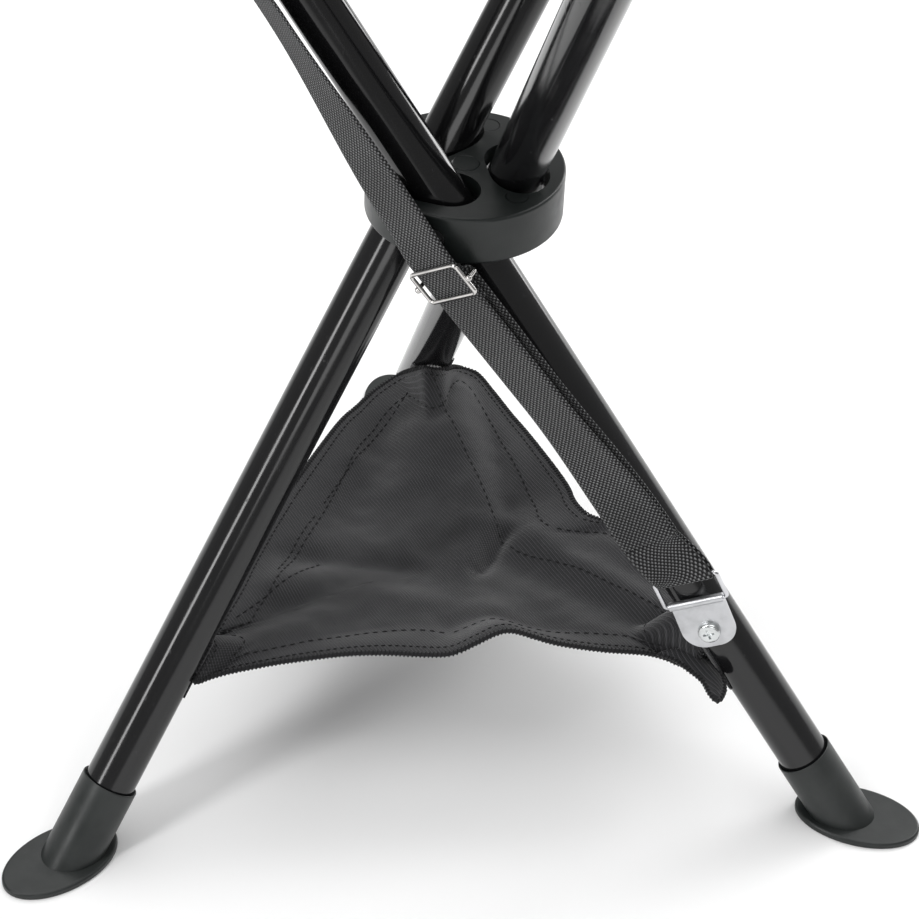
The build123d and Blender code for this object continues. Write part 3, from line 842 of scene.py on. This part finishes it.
def ribbon(name, line, run):
    """A webbing strip with thinner edges; run is how far along the strap its weave starts."""
    half, thick = WEBBING_HALF * MM, WEBBING_THICK * MM / 2
    section = [(x, 1) for x in range(-ACROSS_STEPS, ACROSS_STEPS + 1)]
    section += [(x, -1) for x in range(ACROSS_STEPS, -ACROSS_STEPS - 1, -1)]
    points, uvs = [], []
    for i, (p, across) in enumerate(line):
        before, after = line[max(i - 1, 0)][0], line[min(i + 1, len(line) - 1)][0]
        along = (after - before).normalized()
        across = (across - along * across.dot(along)).normalized()
        off = across.cross(along)
        if i:
            run += (p - line[i - 1][0]).length
        for x, t in section:
            share = x / ACROSS_STEPS
            edge = thick * (1.0 if abs(x) < ACROSS_STEPS else 0.35)
            points.append(p + across * (half * share) + off * (edge * t))
            uvs.append((half * share, run))
    count = len(section)
    faces = grid_faces(len(line), count, closed=True)
    faces.append(tuple(reversed(range(count))))
    faces.append(tuple(len(points) - count + k for k in range(count)))
    strip = mesh_object(name, points, faces, uvs)
    strip.data.materials.append(WEBBING)
    return strip


def tack(name, line):
    """A short dense bar of zigzag stitches across the webbing at the start of a line."""
    lift = WEBBING_THICK * MM / 2 + 0.0001
    runs = []
    for row in range(TACK_ROWS):
        p, across = line[row * 2]
        q, _ = line[row * 2 + 1]
        off = across.cross((q - p).normalized())
        zigzag = []
        for k in range(TACK_STEPS + 1):
            share = -0.85 + 1.7 * k / TACK_STEPS
            base = p if k % 2 else q
            zigzag.append(base + across * (WEBBING_HALF * MM * share) + off * lift)
        runs.append(zigzag)
    return threads(name, runs, TACK_THREAD * MM)


def build_strap():
    leg, low, high, slider = strap_places()
    high_turn = [m @ turn("X", 180) for m in reversed(round_bar(high, RING_BAR, 0))]
    low_turn = round_bar(low, RING_BAR, 0)
    slider_turn = round_bar(slider @ shift(-3.5, 0, 0), SLIDER_BAR, 180)
    split = leg @ shift(15.2, 3.0, SPLIT_LEVEL) @ turn("Z", 6)
    split_back = leg @ shift(12.9, 3.0, SPLIT_LEVEL) @ turn("Z", 6) @ turn("Y", 180)
    front = carry([high_turn[0] @ shift(0, 0, 14)] + high_turn + [
        leg @ shift(13.6, -9.8, 108) @ turn("Z", -42), leg @ shift(23.6, -5.0, 12) @ turn("Z", -21),
        slider @ shift(0, 0, 9.5), slider @ shift(0, 0, -9.5), slider @ shift(0, 0, -69), split])
    turn_low = carry([split] + low_turn + [split_back])
    back = carry([split_back, slider @ shift(-4.2, 0, -66) @ turn("Y", 180)] + slider_turn
                 + [slider_turn[-1] @ shift(0, 0, -12)])
    pieces, run = [], 0.0
    for name, line in (("strap_front", front), ("strap_low", turn_low), ("strap_back", back)):
        pieces.append(ribbon(name, line, run))
        run += sum((q - p).length for (p, _), (q, _) in zip(line, line[1:]))
    tacks = [tack("strap_tack_high", front[12:]), tack("strap_tack_slider", back[-11:])]
    for obj in (pieces[0], tacks[0]):
        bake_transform(obj)
    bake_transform(pieces[1])
    for obj in (pieces[2], tacks[1]):
        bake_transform(obj)
    for obj in pieces + tacks:
        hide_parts("webbing")


# ---- Seat and its corner pockets, in millimetres unless a name or comment says otherwise ----
LEG_TOP = 297               # up the leg from its pivot
SEAT_Z = 536.5
SEAT_CORNER = 215.0
SEAT_ROUND = 16.0
SEAT_HELD = 70.0
SEAT_THICK = 1.2
SEAT_HEM = 1.2
SEAT_HEM_PITCH = 2.2
SEAT_STEP = 3.5
SEAT_ROWS = 56
SEAT_SEAM_IN = (5.0, 8.5)
SEAT_THREAD = 0.28
SEAT_FOLLOW = (0.0538, 0.15)    # metres, as for the lower cloth
SIDE_HOLLOW = 6.0           # how far each side bows in at its middle
SIDE_SAG = 4.5              # and how far it hangs there
SIDE_STEPS = 24
SEAT_BOWL_DEPTH = 13.0
SEAT_BOWL_RADIUS = 98.0
POCKET_MOUTH = 244          # up the leg
POCKET_STRAIGHT = 46        # the sleeve's length before it opens out to the seat
POCKET_SHARE = 0.62         # the part of the sleeve's rows on that length
POCKET_R = 12.9
POCKET_THICK = 0.9
POCKET_HEM = 0.85
POCKET_HEM_PITCH = 2.0
POCKET_THREAD = 0.24
POCKET_SEAM_ROW = 5
POCKET_OVAL = (177.0, 17.0, 15.0)   # its seam under the seat: middle's distance, half length, half width


def seat_corner_angle(leg):
    """The way each leg's top leans, about the hub's axis."""
    top = in_leg(leg, (0, 0, LEG_TOP))
    return math.atan2(top.y, top.x)


def outward_at(angle):
    return Vector((math.cos(angle), math.sin(angle), 0))


def round_corner(outward, degrees):
    """A point on one rounded corner of the seat, that many degrees round from its tip."""
    point = outward * (SEAT_CORNER - 2 * SEAT_ROUND)
    point += Matrix.Rotation(math.radians(degrees), 3, "Z") @ outward * SEAT_ROUND
    point.z = SEAT_Z
    return point


def seat_edge():
    """Three gently hollowed sides between rounded corners."""
    points = []
    corners = sorted(seat_corner_angle(leg) % (2 * math.pi) for leg in "abc")
    for k, angle in enumerate(corners):
        points += [round_corner(outward_at(angle), degrees) for degrees in range(-60, 61, 12)]
        start = points[-1].copy()
        end = round_corner(outward_at(corners[(k + 1) % 3]), -60)
        inward = -(start + end) / 2
        inward.z = 0
        for i in range(1, SIDE_STEPS):
            bow = math.sin(math.pi * i / SIDE_STEPS)
            side = start.lerp(end, i / SIDE_STEPS) + inward.normalized() * (SIDE_HOLLOW * bow)
            side.z = SEAT_Z - SIDE_SAG * bow
            points.append(side)
    return points


def seat_height(x, y):
    """The cloth hangs slack between its corners, with faint pulls towards them."""
    distance = math.hypot(x, y)
    bowl = -SEAT_BOWL_DEPTH * math.exp(-(distance / SEAT_BOWL_RADIUS) ** 2)
    pull = 0.0
    for leg in "abc":
        angle = seat_corner_angle(leg)
        along = x * math.cos(angle) + y * math.sin(angle)
        across = x * math.sin(angle) - y * math.cos(angle)
        pull += 1.3 * math.exp(-(across / 16.0) ** 2 - ((along - 130) / 55.0) ** 2)
    return SEAT_Z - 4.0 + bowl + pull + 0.7 * noise.noise(Vector((x, y, 11.0)) / 30.0)


def build_seat():
    sheet = Spread((0.0, 0.0), seat_edge(), seat_height, SEAT_HELD, HEM_ROOM)
    outer_seam, inner_seam = SEAT_SEAM_IN
    for leg in "abc":
        middle = math.degrees(seat_corner_angle(leg))
        angles = sheet.angles(middle - 60, middle + 60, SEAT_STEP * MM)
        edge = [sheet.point(a, 1.0) for a in angles]
        panel = sheet.panel(f"seat_{leg}", angles, SEAT_ROWS, SEAT_THICK * MM, SEAT_CLOTH)
        hem = edge_roll(f"seat_hem_{leg}", edge, SEAT_HEM * MM, SEAT_HEM_PITCH * MM)
        runs = dashes(sheet.inset(angles, outer_seam, STITCH_LIFT))
        runs += dashes(sheet.inset(angles, inner_seam, STITCH_LIFT))
        around_pocket = [pocket_seam(leg, math.radians(a)) for a in range(0, 361, 6)]
        runs += dashes([sheet.over(p.x / MM, p.y / MM, STITCH_LIFT) for p in around_pocket])
        stitches = threads(f"seat_stitches_{leg}", runs, SEAT_THREAD * MM)
        place = outward_at(math.radians(middle)) * 0.2
        place.z = 0.53
        for obj in (panel, hem, stitches):
            follow_leg(obj, leg, place, *SEAT_FOLLOW)
            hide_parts("seat_panel")
        build_pocket(leg)


def pocket_seam(leg, a):
    """Where a pocket is sewn to the underside of the seat: an oval over the leg's top, in metres."""
    out = outward_at(seat_corner_angle(leg))
    side = UP.cross(out)
    middle, half_length, half_width = POCKET_OVAL
    point = out * (middle + half_length * math.cos(a)) + side * (half_width * math.sin(a))
    point.z = SEAT_Z - 6.5
    return point * MM


def build_pocket(leg):
    """A cloth sleeve from the seat's underside down over the leg's top."""
    columns, rows = 48, 40
    out = outward_at(seat_corner_angle(leg))
    to_leg = LEGS[leg].to_3x3().inverted()
    lean = to_leg @ out
    start = math.atan2(lean.y, lean.x)
    onward = Vector((-math.sin(start), math.cos(start), 0))
    turn_way = 1 if (to_leg @ UP.cross(out)).dot(onward) > 0 else -1
    points, uvs = [], []
    for r in range(rows):
        q = r / (rows - 1)
        along = POCKET_MOUTH + POCKET_STRAIGHT * min(1.0, q / POCKET_SHARE)
        lift = max(0.0, (q - POCKET_SHARE) / (1 - POCKET_SHARE))
        lift = lift * lift * (3 - 2 * lift)
        for c in range(columns + 1):
            a = 2 * math.pi * c / columns
            wrinkle = 0.35 * noise.noise(Vector((math.cos(a) * 1.6, math.sin(a) * 1.6, along / 9.0)))
            r_mm = POCKET_R + wrinkle + 0.5 * (1 - min(1.0, q / 0.1))
            b = start + turn_way * a
            ring = in_leg(leg, (r_mm * math.cos(b), r_mm * math.sin(b), along)) * MM
            points.append(ring.lerp(pocket_seam(leg, a), lift))
            uvs.append((a * 13 * MM, q * 0.07))
    pocket = mesh_object(f"seat_pocket_cloth_{leg}", points, grid_faces(rows, columns + 1), uvs)
    thicken(pocket, POCKET_THICK * MM)
    pocket.data.materials.append(SEAT_CLOTH)
    mouth = points[:columns + 1]
    hem = edge_roll(f"seat_pocket_hem_{leg}", mouth, POCKET_HEM * MM, POCKET_HEM_PITCH * MM)
    first = POCKET_SEAM_ROW * (columns + 1)
    seam_row = points[first:first + columns + 1]
    centre = seam_row[0].lerp(seam_row[columns // 2], 0.5)
    sewn = [p + (p - centre).normalized() * 0.0005 for p in seam_row]
    stitches = threads(f"seat_pocket_stitches_{leg}", dashes(sewn), POCKET_THREAD * MM)
    for obj in (pocket, hem, stitches):
        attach(obj, f"leg_{leg}")
        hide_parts(f"seat_pocket_{leg}")


build_strap()
build_seat()
